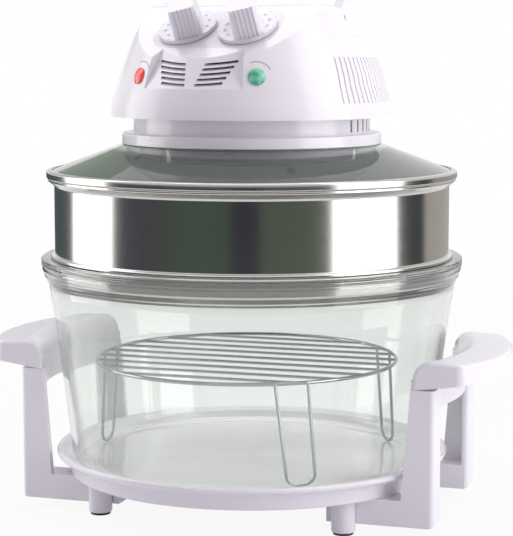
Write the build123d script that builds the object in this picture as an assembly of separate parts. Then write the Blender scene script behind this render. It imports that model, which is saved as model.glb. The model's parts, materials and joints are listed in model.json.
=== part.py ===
from build123d import *
import math
import os

os.makedirs("parts", exist_ok=True)

# Halogen oven, millimetres. +Z up, the floor at z = 0, the front towards -Y.
# Every name that ends in _r is a radius.

# Clearances
lift_gap = 0.5          # beside a piece that lifts out
part_gap = 0.3          # between pieces that turn past each other
fit_gap = 0.05          # inside a bore that grips
screw_gap = 0.1         # round the shank of a screw
seat_gap = 0.1          # between the glass and its metal band

# Stand
leg_height = 28.0
leg_r = 9.4
leg_in = 18.0           # of the four legs' circle from the tray's foot
leg_angle = 50.6        # of a leg from the front or the rear
leg_web = 10.0          # over a leg's pocket
pad_height = 2.0
pad_r = 8.0
pad_plug_r = 4.8
tray_over = 2.6         # of the tray's foot beyond the bowl's
tray_lip = 11.3         # of the tray's lip beyond its foot
tray_height = 19.0
tray_floor = 4.0        # thickness of the tray's floor
tray_skirt = 2.0        # wall that hangs below the floor
screw_r = 2.0
screw_head_r = 4.0
screw_head = 2.6
screw_cover = 1.5       # left over the end of a blind hole
screw_short = 0.5       # of a screw's tip from that end

# Side handles
handle_out = 10.5       # of the posts' outer face beyond the bowl's mouth
post_near_y = 53.5
post_width = 26.0
post_wall = 5.5         # the posts are angles, open towards the bowl
post_foot = 25.5        # width of a post's face above the arm
post_head = 19.0        # and under the wing
post_round = 4.0
arm_bottom = 8.0
arm_length = 65.0
arm_web = 12.0          # over its screw's pocket
arm_screw_in = 24.0     # of its screw from the post
wing_top = 137.0
wing_thickness = 24.0
wing_drop = 3.2         # fall of the top towards the outer edge
wing_end = 20.5         # reach beyond the posts at its ends
wing_middle = 42.5      # and at its middle
wing_hollow = 18.0      # bow of the inner edge
wing_lip = 11.0         # thickness of the outer edge
wing_corner = 9.0
wing_edge = 3.0
wing_inner_round = 13.0
skirt_thickness = 5.0
skirt_bottom = 97.0

# Glass bowl
glass = 4.7
bowl_height = 169.3
bowl_mouth_r = 159.5
bowl_foot_in = 14.1     # of the foot from the mouth
bowl_foot_round = 14.0
bowl_belly_in = 5.3     # of the outside, half way up, from the mouth
bowl_neck = 4.4         # wall under the lip
bowl_lip = 10.5         # of the lip beyond the mouth
bowl_lip_height = 21.0

# Wire rack
rack_in = 23.4          # of the rack from the bowl's foot
rack_height = 119.0     # above the floor
rack_shift = (-3.8, -1.2)
rack_ring_wire_r = 1.5
rack_bar_wire_r = 1.1
rack_leg_wire_r = 1.25
rack_bar_pitch = 24.4
rack_bar_pairs = 4      # bars each side of the middle one
rack_legs = ((34.0, 6.5), (127.5, 0.0), (-92.0, 0.0))     # angle, and lean to one side
rack_leg_width = 26.0
rack_leg_foot = 22.0     # width at the bottom
rack_leg_splay = 5.5

# Extender ring
extender_height = 63.7  # from the bowl's rim to the lid
extender_sheet = 1.2
extender_skirt = 13.0   # depth inside the bowl's mouth
extender_bead_width = 3.6
extender_bead = 3.0
extender_flange_width = 5.0
extender_flange = 6.0

# Lid
lid_turn = -8.5         # the lid can stand at any angle on the ring
lid_rise = 23.3         # from the glass's edge to its flat middle
lid_sheet = 4.5
lid_flat = 16.0         # flat ring round the hole
band_over = 1.2         # of the band beyond the extender's flange
band_height = 6.0
band_sheet = 1.2
band_skirt = 4.5
band_lip = 4.6          # width of the band on the glass

# Heater under the lid
pan_bulge = 1.5
pan_neck_in = 9.0       # of the neck from the bowl of the pan
pan_gap = 2.0           # between the pan's neck and the lid's hole
pan_sheet = 1.0
pan_depth = 16.0        # below the glass
pan_flange = 8.0        # width
pan_raise = 2.0         # of the pan's middle above the glass
spacer_r = 1.75
spacer_in = 3.0         # of the spacers from the flange's edge
spacer_angle = -12.5    # of the first of four
nut_r = 2.3
nut_height = 2.4
tube_ring_r = 66.0
tube_r = 5.0
tube_drop = 14.5        # of the tube's axis below the lid's flat middle
tube_gap_angle = 34.0
tube_block = 12.0
clip_width = 8.0
clip_sheet = 1.0
guard_first_r = 18.0
guard_pitch = 15.0
guard_rings = 5
guard_over = 0.5        # of the outer ring beyond the pan
guard_bend = 9.5        # of the spokes' bend from the outer ring
guard_bend_round = 4.0
guard_wire_r = 0.9
guard_drop = 8.0
guard_spokes = 8
pan_screw_r = 1.5
pan_screw_head_r = 2.7
pan_screw_out = 15.5    # beyond the heater's ring
pan_screw_in = 4.5      # from the pan's neck
pan_screw_reach = 1.0   # into the insulation's top

# Fans and motor
shaft_r = 3.0
shaft_hole_r = 8.0
blower_r = 50.0         # fan in the cooking space
blower_height = 9.0
blower_blades = 8
cooler_r = 62.0         # fan that cools the motor
cooler_height = 7.0
cooler_blades = 9
cooler_gap = 4.0        # round it in the head's floor
cooler_raise = 3.0      # above the collar
fan_hub_r = 8.0
blade_thickness = 1.2
shaft_below = 4.5       # of the blower
nut_on_shaft_r = 5.0
nut_on_shaft = 3.5
motor_width = 62.0
motor_front = 22.0      # ahead of the shaft
motor_back = 38.0       # behind the shaft
motor_stack = 20.0
motor_raise = 10.0      # of the motor above its bracket
motor_limb = 10.0
motor_window = 6.0
rotor_r = 14.0
rotor_gap = 0.4
coil_length = 32.0
coil_wall = 5.0
bridge_x = 20.0
bridge_width = 14.0
bridge_sheet = 1.5
bridge_rise = 6.0
bush_r = 6.5
bush_height = 5.0
bracket_sheet = 1.5
bracket_width = 30.0
bracket_x = 80.0
bracket_screw_x = 74.0
bracket_post_r = 3.5
bracket_post = (27.0, 10.0)

# Head
collar_over = 0.2       # beyond the lid's flat ring
collar_height = 9.0
collar_over_hole = 0.5
collar_deck = 2.0
deck_hole_r = 12.0
neck_in = 9.2           # from the collar's edge
neck_height = 13.0
neck_wall = 2.5
neck_boss_r = 4.5
neck_screw_in = 5.0     # from the neck's outside
neck_screw_depth = 6.0
neck_slot = 2.8
neck_slot_height = 9.6
neck_slot_pitch = 6.2
neck_slot_start = 81.0
head_wall = 2.6
head_floor = 2.5
head_over = 8.8         # of the head's lower edge beyond the collar
head_steps = [(0.0, 0.0), (0.8, 12.0), (5.6, 26.0), (7.3, 33.0), (10.5, 42.0), (13.0, 48.0), (15.4, 54.0),
              (19.0, 59.5), (30.0, 64.0)]       # inset and height
console_steps = [(5.6, 26.0), (7.3, 33.0), (10.5, 42.0), (13.0, 48.0), (16.0, 56.0), (20.5, 66.0),
                 (26.0, 76.0), (27.5, 80.0), (34.0, 87.0)]
panel_tilt = 32.0
panel_y = -58.0         # middle of the control panel
panel_z = 68.5          # above the head's lower edge
panel_width = 104.0
panel_length = 54.0
panel_round = 20.0
panel_thickness = 2.0
console_back_y = -11.5
saddle_width = 140.0    # block behind the console, between the handle's legs
saddle_back_y = 24.0
saddle_slope = 8.0      # bevel of its rear edge
saddle_overlap = 8.0    # with the console
recess_angle = 23.0     # half of the vent recess
recess_in = 5.4         # from the head's lower edge
recess_reach = 40.0     # of its cut, past the console
recess_bottom = 23.3
recess_slope = 0.6
vent_rows = 5
vent_pitch = 3.8
vent_slot = 1.8
vent_bottom = 25.8
vent_tilt = 20.0
vent_inner_x = (4.0, 7.9)       # bottom row, top row
vent_outer_x = (26.2, 33.2)
rib_first = 65.0
rib_count = 18
rib_pitch = 2.95
rib_width = 1.5
rib_depth = 1.1
rib_bottom = 12.0
rib_height = 35.0
shell_screw_in = 8.5    # from the head's lower edge
shell_screw_reach = 9.0 # into its boss
sunk_head = 2.0         # depth of a countersunk head
shell_boss_r = 6.0
shell_boss_height = 18.0
gland_r = 6.5
gland_bore_r = 3.6
gland_height = 9.5      # above the head's lower edge
gland_flange_r = 8.0
gland_length = 9.0      # inside the shell
gland_seat = 0.9        # of the flange off the curved wall
gland_front = 4.0

# Lamps
lamp_angle = 28.5
lamp_r = 6.5
lamp_height = 32.5      # above the head's lower edge
lamp_tilt = 17.0
lamp_dome = 1.6
lamp_length = 8.0
lamp_holder_r = 8.5
lamp_holder_length = 9.0

# Knobs
knob_x = 26.0
knob_gap = 0.5          # under a knob
knob_rest = 26.5        # turn of both grips from straight ahead
knob_disc_r = 23.4
knob_disc = 3.0
knob_grip_width = 23.0
knob_grip_length = 42.0
knob_grip_height = 24.0
knob_grip_round = 5.0
knob_taper = 3.0
knob_flute_r = 1.1
knob_flute_pitch = 3.3
flute_reach = 40.0      # of a flute's cut, past the grip
knob_flutes = 5
knob_bore = 16.0        # depth of the spindle's hole
spindle_r = 3.0
spindle_depth = 6.0     # inside the unit
timer_r = 20.0
timer_depth = 24.0
thermostat_size = 34.0
thermostat_depth = 20.0

# Carry handle
handle_pivot_z = 76.0   # above the head's lower edge
handle_lean = 40.0      # back from upright, as it rests
handle_outer_x = 80.5
handle_leg = 9.0
handle_depth = 16.0
handle_eye_r = 9.0
handle_reach = 80.0     # from the pivot to the middle of the bar
handle_bar = 15.0
handle_round = 26.0
handle_edge = 3.0
pin_r = 3.5
pin_inner_x = 54.0
cam_r = 5.4
cam_offset = 1.5
cam_width = 6.0
plunger_r = 2.5
plunger_length = 9.0
plunger_show = 4.3      # above the switch
switch_height = 11.0
switch_depth = 12.0
switch_inner_x = 45.0
switch_bore_depth = 7.5

# Small electrical pieces in the head
terminal_size = (28.0, 12.0, 11.0)
terminal_r = 86.0
terminal_angle = 165.0
cutout_r = 7.0
cutout_height = 5.0
cutout_circle_r = 75.0
cutout_angle = 120.0

# Radii and distances from the middle worked out from the sizes above
bowl_foot_r = bowl_mouth_r - bowl_foot_in
bowl_belly_r = bowl_mouth_r - bowl_belly_in
bowl_neck_r = bowl_mouth_r + bowl_neck
bowl_lip_r = bowl_mouth_r + bowl_lip
tray_foot_r = bowl_foot_r + tray_over
tray_lip_r = tray_foot_r + tray_lip
leg_circle_r = tray_foot_r - leg_in
post_outer_x = bowl_mouth_r + handle_out
post_inner_x = post_outer_x - post_head
post_foot_x = post_outer_x - post_foot
post_far_y = post_near_y + post_width
arm_inner_x = post_inner_x - arm_length
arm_screw_x = post_inner_x - arm_screw_in
wing_end_x = post_outer_x + wing_end
wing_middle_x = post_outer_x + wing_middle
wing_inner_end_x = post_inner_x
wing_inner_middle_x = wing_inner_end_x + wing_hollow
rack_r = bowl_foot_r - rack_in
extender_r = bowl_mouth_r - lift_gap
extender_bead_r = extender_r + extender_bead_width
extender_flange_r = extender_r + extender_flange_width
band_r = extender_flange_r + band_over
band_inner_r = extender_r - extender_sheet - lift_gap
glass_edge_r = band_r - band_sheet - seat_gap
pan_screw_circle_r = tube_ring_r + pan_screw_out
pan_neck_r = pan_screw_circle_r + pan_screw_in
pan_r = pan_neck_r + pan_neck_in
pan_flange_r = pan_r + pan_flange
spacer_circle_r = pan_flange_r - spacer_in
guard_outer_r = pan_r + guard_over
guard_bend_r = guard_outer_r - guard_bend
lid_hole_r = pan_neck_r + pan_gap
lid_flat_r = lid_hole_r + lid_flat
collar_inner_r = lid_hole_r - collar_over_hole
collar_r = lid_flat_r + collar_over
neck_r = collar_r - neck_in
neck_screw_r = neck_r - neck_screw_in
cooler_hole_r = cooler_r + cooler_gap
head_r = collar_r + head_over
head_profile = [(head_r - inset, height) for inset, height in head_steps]
console_profile = [(head_r - inset, height) for inset, height in console_steps]
console_top = console_profile[-1][1]
recess_r = head_r - recess_in
shell_screw_circle_r = head_r - shell_screw_in

# Heights worked out from the sizes above
tray_top = leg_height + tray_height
tray_under = leg_height + tray_skirt
bowl_bottom = tray_under + tray_floor
bowl_top = bowl_bottom + bowl_height
extender_top = bowl_top + extender_height
band_top = extender_top + band_height
lid_edge = band_top - 2.3
lid_seat = extender_top + band_sheet + seat_gap
lid_slope = lid_rise / (band_r - lid_flat_r)
lid_top = lid_edge + lid_rise
lid_under = lid_top - lid_sheet
pan_top = lid_top + pan_raise
pan_ceiling = pan_top - pan_sheet
flange_under = lid_under - pan_depth - pan_sheet
collar_top = lid_top + collar_height
deck_under = collar_top - collar_deck
head_bottom = collar_top + neck_height
head_floor_top = head_bottom + head_floor


def solid_of(shape):
    """One plain compound or solid from a boolean result."""
    return Compound(children=list(shape.solids())) if len(shape.solids()) > 1 else shape.solids()[0]


def write(name, shape):
    export_step(solid_of(shape), f"parts/{name}.step")


def outline(points, rounds=None):
    """Closed outline through corners; rounds maps a corner to its radius."""
    radii = [0.0] * len(points)
    for corner, radius in (rounds or {}).items():
        radii[corner] = radius
    return FilletPolyline(*points, radius=radii, close=True)


def lathe(points, rounds=None):
    """Solid of revolution about Z from (radius, height) corners."""
    return revolve(Plane.XZ * make_face(outline(points, rounds)), Axis.Z)


def tube(inner_r, outer_r, low, high):
    return lathe([(inner_r, low), (outer_r, low), (outer_r, high), (inner_r, high)])


def disc(radius, low, high, x=0.0, y=0.0):
    return Pos(x, y, (low + high) / 2) * Cylinder(radius, high - low)


def block(low, high):
    """Box between two corners."""
    size = [b - a for a, b in zip(low, high)]
    middle = [(a + b) / 2 for a, b in zip(low, high)]
    return Pos(*middle) * Box(*size)


def side(points, low_x, high_x, rounds=None):
    """Solid of a (y, z) outline between two values of x; rounds maps a corner to its radius."""
    face = Plane.YZ.offset(low_x) * make_face(outline(points, rounds))
    return extrude(face, high_x - low_x)


def front(points, low_y, high_y):
    """Solid of an (x, z) outline between two values of y."""
    face = Plane.XZ.offset(-high_y) * make_face(Polyline(*points, close=True))
    return extrude(face, high_y - low_y)


def at_angle(radius, angle, z=0.0):
    """Place on a circle, the angle counted from the front towards +X."""
    a = math.radians(angle)
    return Pos(radius * math.sin(a), -radius * math.cos(a), z) * Rot(0, 0, angle)


def wire_ring(radius, wire_r, z=0.0):
    """Round wire bent to a ring, its section a twelve-sided figure."""
    return revolve(Plane.XZ * Pos(radius, z) * RegularPolygon(wire_r, 12), Axis.Z)


def joined(shapes):
    result = shapes[0]
    for shape in shapes[1:]:
        result = result + shape
    return result


def screw(x, y, low, high, radius=screw_r, head_r=screw_head_r, head=screw_head):
    """Pan-head screw driven upwards, its head's seat at low."""
    return disc(radius, low, high, x, y) + disc(head_r, low - head, low, x, y)


# ---------------------------------------------------------------- stand

leg_x = leg_circle_r * math.sin(math.radians(leg_angle))
leg_y = leg_circle_r * math.cos(math.radians(leg_angle))
leg_places = [(sx * leg_x, sy * leg_y) for sx in (-1, 1) for sy in (-1, 1)]
arm_screw_y = (post_near_y + post_far_y) / 2
arm_screw_places = [(sx * arm_screw_x, sy * arm_screw_y) for sx in (-1, 1) for sy in (-1, 1)]
screw_depth = tray_skirt + tray_floor - screw_cover
leg_pocket_top = leg_height - leg_web
arm_pocket_top = leg_height - arm_web


def base_tray():
    base = leg_height
    dish = lathe(
        [(0, tray_under), (tray_foot_r - 3, tray_under), (tray_foot_r - 3, base), (tray_foot_r, base),
         (tray_foot_r + 2, base + 12.5), (tray_lip_r - 1.5, base + 14.5), (tray_lip_r, base + 16),
         (tray_lip_r, tray_top), (tray_lip_r - 4, tray_top), (tray_foot_r + 3.5, base + 16),
         (tray_foot_r - 0.5, base + 9), (tray_foot_r - 5, bowl_bottom), (0, bowl_bottom)],
        {3: 1.0, 4: 2.0, 6: 1.0, 7: 1.2, 8: 1.2, 9: 2.0, 10: 2.0, 11: 4.0})
    bosses = [disc(leg_r + 1.5, base, tray_under, x, y) for x, y in leg_places]
    bosses += [disc(7.0, base, tray_under, x, y) for x, y in arm_screw_places]
    holes = [disc(screw_r + screw_gap, base, base + screw_depth, x, y)
             for x, y in leg_places + arm_screw_places]
    return joined([dish] + bosses) - joined(holes)


def tray_legs():
    legs = []
    for x, y in leg_places:
        leg = Pos(x, y, 0) * lathe(
            [(screw_r + screw_gap, leg_pocket_top), (pad_plug_r, leg_pocket_top), (pad_plug_r, pad_height),
             (leg_r, pad_height), (leg_r, leg_height), (screw_r + screw_gap, leg_height)], {3: 1.2})
        legs.append(leg)
    return Compound(children=legs)


def foot_pads():
    pads = []
    for x, y in leg_places:
        pads.append(Pos(x, y, 0) * lathe(
            [(0, 0), (pad_r, 0), (pad_r, pad_height), (pad_plug_r - 0.1, pad_height),
             (pad_plug_r - 0.1, pad_height + 6), (0, pad_height + 6)], {1: 0.8}))
    return Compound(children=pads)


def side_handle():
    """Right-hand handle: two arms, two posts and the wing that joins them, one moulding."""
    post_top = wing_top - wing_thickness + 1
    halves = []
    for s in (-1, 1):
        near, far = sorted((s * post_near_y, s * post_far_y))
        wall_near, wall_far = sorted((s * (post_far_y - post_wall), s * post_far_y))
        post = block((arm_inner_x, near, arm_bottom), (post_outer_x, far, leg_height))
        post += block((post_outer_x - post_wall, near, leg_height), (post_outer_x, far, post_top))
        post += front([(post_foot_x, leg_height), (post_outer_x, leg_height), (post_outer_x, post_top),
                       (post_inner_x, post_top)], wall_near, wall_far)
        outer = post.edges().filter_by(Axis.Z).group_by(Axis.X)[-1]
        outer += post.edges().filter_by(Axis.Y).group_by(Axis.Z)[0].sort_by(Axis.X)[-1:]
        halves.append(fillet(outer, post_round))
    plan_inner = ThreePointArc((wing_inner_end_x, -post_far_y), (wing_inner_middle_x, 0),
                               (wing_inner_end_x, post_far_y))
    plan_outer = ThreePointArc((wing_end_x, post_far_y), (wing_middle_x, 0), (wing_end_x, -post_far_y))
    plan = make_face([plan_inner, Line(plan_inner @ 1, plan_outer @ 0), plan_outer,
                      Line(plan_outer @ 1, plan_inner @ 0)])
    plan = fillet(plan.vertices().group_by(Axis.X)[-1], wing_corner)
    slab = front([(post_inner_x - 5, wing_top), (wing_middle_x + 5, wing_top - wing_drop),
                  (wing_middle_x + 5, wing_top - wing_drop - wing_lip),
                  (post_inner_x - 5, wing_top - wing_thickness)], -post_far_y - 5, post_far_y + 5)
    wing = extrude(plan, wing_top + 5) & slab
    crest = wing_top - wing_drop - wing_edge
    inner = wing.edges().filter_by(lambda e: e.center().Z > crest and abs(e.center().Y) < 1)
    wing = fillet(inner.sort_by(Axis.X)[0], wing_inner_round)
    wing = fillet(wing.edges().filter_by(lambda e: e.center().Z > crest
                                         and e.center().X > wing_inner_end_x + wing_inner_round
                                         and (abs(e.center().Y) > post_near_y or e.center().X > wing_end_x)),
                  wing_edge)
    skirt_far_y = post_far_y - post_wall / 2
    band_outer = ThreePointArc((wing_inner_end_x + skirt_thickness, skirt_far_y),
                               (wing_inner_middle_x + skirt_thickness, 0),
                               (wing_inner_end_x + skirt_thickness, -skirt_far_y))
    band_inner = ThreePointArc((wing_inner_end_x, -skirt_far_y), (wing_inner_middle_x, 0),
                               (wing_inner_end_x, skirt_far_y))
    band = make_face([band_inner, Line(band_inner @ 1, band_outer @ 0), band_outer,
                      Line(band_outer @ 1, band_inner @ 0)])
    skirt = Pos(0, 0, skirt_bottom) * extrude(band, wing_top - wing_inner_round - 2 - skirt_bottom)
    handle = joined([wing, skirt] + halves)
    for x, y in leg_places:
        if x > 0:
            handle -= disc(leg_r + part_gap, 0, leg_height + 1, x, y)
    handle -= disc(tray_lip_r + part_gap, leg_height, tray_top + part_gap)
    for x, y in arm_screw_places:
        if x > 0:
            handle -= disc(screw_r + screw_gap, arm_bottom - 1, leg_height + 1, x, y)
            handle -= disc(screw_head_r + 0.5, arm_bottom - 1, arm_pocket_top, x, y)
    return handle


def screws(places, seat):
    return Compound(children=[screw(x, y, seat, leg_height + screw_depth - screw_short) for x, y in places])


right_handle = side_handle()
write("base_tray", base_tray())
write("tray_legs", tray_legs())
write("leg_screws", screws(leg_places, leg_pocket_top))
write("foot_pads", foot_pads())
write("side_handle_right", right_handle)
write("side_handle_left", mirror(right_handle, Plane.YZ))
write("handle_screws", screws(arm_screw_places, arm_pocket_top))

# ---------------------------------------------------------------- bowl, rack and ring


def glass_bowl():
    lip_bottom = bowl_top - bowl_lip_height
    middle = (bowl_bottom + lip_bottom) / 2
    corner_top = bowl_bottom + bowl_foot_round + 2
    foot = FilletPolyline((0, bowl_bottom), (bowl_foot_r, bowl_bottom), (bowl_foot_r + 2, corner_top),
                          radius=bowl_foot_round)
    wall = ThreePointArc(foot @ 1, (bowl_belly_r, middle), (bowl_neck_r, lip_bottom))
    flare = ThreePointArc(wall @ 1, (bowl_neck_r + 3.9, lip_bottom + 7.6), (bowl_lip_r, bowl_top - 5))
    rim = FilletPolyline(flare @ 1, (bowl_lip_r, bowl_top - 0.8), (bowl_lip_r - 3, bowl_top),
                         (bowl_mouth_r, bowl_top), (bowl_mouth_r, lip_bottom + 2),
                         radius=[1.5, 1.5, 0.8])
    inner_wall = ThreePointArc(rim @ 1, (bowl_belly_r - glass, middle),
                               (bowl_foot_r + 2 - glass, corner_top + 1))
    inner_foot = FilletPolyline(inner_wall @ 1, (bowl_foot_r + 0.4 - glass, bowl_bottom + glass),
                                (0, bowl_bottom + glass), radius=bowl_foot_round - glass)
    axis = Line(inner_foot @ 1, foot @ 0)
    return revolve(Plane.XZ * make_face([foot, wall, flare, rim, inner_wall, inner_foot, axis]), Axis.Z)


def wire_rack():
    ring = wire_ring(rack_r, rack_ring_wire_r)
    bars = []
    for k in range(-rack_bar_pairs, rack_bar_pairs + 1):
        y = k * rack_bar_pitch
        length = 2 * math.sqrt(rack_r ** 2 - y ** 2)
        bars.append(Pos(0, y, 0) * Rot(0, 90, 0) * Cylinder(rack_bar_wire_r, length))
    drop = rack_height - bowl_bottom - glass - rack_leg_wire_r - 0.3
    slope = math.degrees(math.atan2(rack_leg_splay, drop))
    reach = math.hypot(rack_leg_splay, drop)
    top, foot = rack_leg_width / 2, rack_leg_foot / 2
    for angle, lean in rack_legs:
        loop = FilletPolyline((-top, 0), (lean - foot, -reach), (lean + foot, -reach), (top, 0),
                              radius=foot - 1)
        path = at_angle(rack_r, angle) * Rot(90 - slope, 0, 0) * loop
        bars.append(sweep(Plane(path @ 0, z_dir=path % 0) * Circle(rack_leg_wire_r), path))
    return Pos(*rack_shift, rack_height) * (ring + bars)


def extender_ring():
    foot = bowl_top - extender_skirt
    r, t, top = extender_r, extender_sheet, extender_top
    flange_foot = top - extender_flange
    return lathe(
        [(r - t, foot), (r, foot), (r, bowl_top), (extender_bead_r, bowl_top),
         (extender_bead_r, bowl_top + extender_bead), (r, bowl_top + extender_bead), (r, flange_foot),
         (extender_flange_r, top - 2), (extender_flange_r, top), (r - t - 0.4, top),
         (r - t, top - 1.5)],
        {3: 0.9, 4: 1.2, 5: 0.6, 6: 3.0, 7: 1.0, 8: 0.8})


write("glass_bowl", glass_bowl())
write("wire_rack", wire_rack())
write("extender_ring", extender_ring())

# ---------------------------------------------------------------- lid, in the head's own frame


def lid_surface(radius):
    """Height of the lid's outer cone at a radius."""
    return lid_edge + (band_r - radius) * lid_slope


def lid_glass():
    under = lid_sheet * math.hypot(1, lid_slope)
    ground_r = band_r - (lid_seat + under - lid_edge) / lid_slope
    return lathe(
        [(lid_hole_r, lid_under), (lid_flat_r - 1, lid_under), (ground_r, lid_seat), (glass_edge_r, lid_seat),
         (glass_edge_r, lid_surface(glass_edge_r)), (lid_flat_r, lid_top), (lid_hole_r, lid_top)],
        {1: 8.0, 5: 12.0})


def lid_rim_band():
    foot, top = extender_top, extender_top + band_sheet
    inner_r = band_inner_r - band_sheet
    lip_r = band_r - band_lip
    outer_r = glass_edge_r + seat_gap
    return lathe(
        [(inner_r, foot - band_skirt), (band_inner_r, foot - band_skirt), (band_inner_r, foot),
         (band_r, foot), (band_r, band_top), (lip_r, lid_surface(lip_r) + 1),
         (lip_r, lid_surface(lip_r) + seat_gap),
         (outer_r, lid_surface(outer_r) + seat_gap), (outer_r, top), (inner_r, top)],
        {3: 1.2, 4: 1.6})


# Everything on the lid is drawn in the head's own frame and turned with the lid.
lid_frame = Rot(0, 0, lid_turn)


def write_on_lid(name, shape):
    write(name, lid_frame * shape)


write_on_lid("lid_glass", lid_glass())
write_on_lid("lid_rim_band", lid_rim_band())

# ---------------------------------------------------------------- heater under the lid

tube_z = lid_top - tube_drop
blower_top = tube_z + 4.0
spacer_places = [at_angle(spacer_circle_r, spacer_angle + 90 * k) for k in range(4)]
pan_screw_hole_r = pan_screw_r + screw_gap
pan_screw_tip = deck_under + pan_screw_reach
pan_screw_places = [at_angle(pan_screw_circle_r, 90 * k) for k in range(4)]


def reflector_pan():
    """Steel dish: flange, bulged wall, shoulder under the glass and a raised middle."""
    t, low = pan_sheet, flange_under
    shoulder_r = pan_r - 5
    pan = lathe(
        [(pan_flange_r, low), (pan_flange_r, low + t), (pan_r, low + t), (pan_r + pan_bulge, low + 8),
         (shoulder_r, lid_under), (pan_neck_r, lid_under), (pan_neck_r, pan_top), (shaft_hole_r, pan_top),
         (shaft_hole_r, pan_ceiling), (pan_neck_r - t, pan_ceiling), (pan_neck_r - t, lid_under - t),
         (shoulder_r - 0.5, lid_under - t), (pan_r + pan_bulge - t, low + 8), (pan_r - t, low)],
        {3: 5.0, 12: 4.0})
    holes = [place * disc(pan_screw_hole_r, pan_ceiling - 1, pan_top + 1) for place in pan_screw_places]
    return pan - holes


def spacer_posts():
    return Compound(children=[place * disc(spacer_r, flange_under + pan_sheet, lid_under)
                              for place in spacer_places])


def guard_nuts():
    nut = extrude(RegularPolygon(nut_r, 6), nut_height)
    return Compound(children=[place * Pos(0, 0, flange_under - nut_height) * nut for place in spacer_places])


def fan_guard():
    """Welded wire guard: rings in one plane and spokes that rise to the ring under the pan's flange."""
    top = flange_under - guard_wire_r
    low = flange_under - guard_drop
    rings = [wire_ring(guard_first_r + k * guard_pitch, guard_wire_r, low) for k in range(guard_rings)]
    path = FilletPolyline((guard_first_r, low), (guard_bend_r, low), (guard_outer_r, top),
                          radius=guard_bend_round)
    path = Plane.XZ * path
    spoke = sweep(Plane(path @ 0, z_dir=path % 0) * Circle(guard_wire_r), path)
    spokes = [Rot(0, 0, 360 * k / guard_spokes) * spoke for k in range(guard_spokes)]
    return wire_ring(guard_outer_r, guard_wire_r, top) + rings + spokes


def halogen_tube():
    """Quartz tube bent to an open ring, its gap at the rear."""
    start = 90 + tube_gap_angle / 2
    path = CenterArc((0, 0, tube_z), tube_ring_r, start, 360 - tube_gap_angle)
    return sweep(Plane(path @ 0, z_dir=path % 0) * Circle(tube_r), path)


def tube_blocks():
    """Ceramic blocks that hold the tube's ends, screwed under the pan."""
    blocks = []
    for s in (-1, 1):
        place = at_angle(tube_ring_r, 180 + s * tube_gap_angle / 2)
        near, far = sorted((0.0, -s * tube_block))
        half = tube_block / 2
        blocks.append(place * block((near, -half, tube_z - half), (far, half, pan_ceiling)))
    return Compound(children=blocks)


def tube_clips():
    clips = []
    for angle in (-60.0, 0.0, 60.0):
        out = tube_r + 0.1
        half = clip_width / 2
        strip = block((-half, -out - clip_sheet, tube_z - out - clip_sheet), (half, -out, pan_ceiling))
        lip = block((-half, -out - clip_sheet, tube_z - out - clip_sheet), (half, out, tube_z - out))
        clips.append(at_angle(tube_ring_r, angle) * (strip + lip))
    return Compound(children=clips)


def pan_screws():
    return Compound(children=[place * screw(0, 0, pan_ceiling, pan_screw_tip, pan_screw_r, pan_screw_head_r)
                              for place in pan_screw_places])


write_on_lid("reflector_pan", reflector_pan())
write_on_lid("spacer_posts", spacer_posts())
write_on_lid("guard_nuts", guard_nuts())
write_on_lid("fan_guard", fan_guard())
write_on_lid("halogen_tube", halogen_tube())
write_on_lid("tube_blocks", tube_blocks())
write_on_lid("tube_clips", tube_clips())
write_on_lid("pan_screws", pan_screws())
write_on_lid("insulation_disc",
             tube(shaft_hole_r, pan_screw_circle_r - pan_screw_head_r - 2.5, pan_top, deck_under))

# ---------------------------------------------------------------- collar, neck and floor of the head

neck_screw_places = [at_angle(neck_screw_r, 45 + 90 * k) for k in range(4)]
shell_screw_places = [at_angle(shell_screw_circle_r, 45 + 90 * k) for k in range(4)]
bracket_screw_places = [(-bracket_screw_x, 0.0), (bracket_screw_x, 0.0)]
screw_hole_r = screw_r + screw_gap


def collar_ring():
    ring = lathe(
        [(collar_inner_r, lid_top), (collar_r, lid_top), (collar_r, collar_top), (deck_hole_r, collar_top),
         (deck_hole_r, deck_under), (collar_inner_r, deck_under)], {1: 0.8, 2: 1.5})
    bosses = [place * disc(collar_inner_r - pan_screw_circle_r - 1.5, pan_top, deck_under + 1)
              for place in pan_screw_places]
    ring = ring + bosses
    ring -= [place * disc(pan_screw_hole_r, pan_top - 1, pan_screw_tip + 0.2) for place in pan_screw_places]
    return ring - [place * disc(screw_hole_r, collar_top - neck_screw_depth, collar_top + 1)
                   for place in neck_screw_places]


def neck_housing():
    neck = tube(neck_r - neck_wall, neck_r, collar_top, head_bottom)
    neck = neck + [place * disc(neck_boss_r, collar_top, head_bottom) for place in neck_screw_places]
    neck &= disc(neck_r, collar_top, head_bottom)
    middle = (collar_top + head_bottom) / 2
    count = int((360 - 2 * neck_slot_start) / neck_slot_pitch) + 1
    slots = [at_angle(neck_r, neck_slot_start + neck_slot_pitch * k, middle)
             * Box(neck_slot, 2 * neck_wall + 0.4, neck_slot_height) for k in range(count)]
    return neck - slots - [place * disc(screw_hole_r, collar_top - 1, head_bottom + 1)
                           for place in neck_screw_places]


def head_base():
    outer_r = head_profile[0][0] - head_wall - part_gap
    plate = tube(cooler_hole_r, outer_r, head_bottom, head_floor_top)
    plate -= [place * disc(screw_hole_r, head_bottom - 1, head_floor_top + 1)
              for place in neck_screw_places + shell_screw_places]
    sink_r = screw_head_r + screw_gap
    sink = lathe([(0, head_bottom), (sink_r, head_bottom), (screw_hole_r, head_bottom + sunk_head),
                  (0, head_bottom + sunk_head)])
    plate -= [place * sink for place in shell_screw_places]
    return plate - [disc(screw_hole_r, head_bottom - 1, head_floor_top + 1, x, y)
                    for x, y in bracket_screw_places]


def sunk_screw(low, high):
    """Countersunk screw driven upwards, its flat head flush with low."""
    return lathe([(0, low), (screw_head_r, low), (screw_r, low + sunk_head), (screw_r, high), (0, high)])


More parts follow.
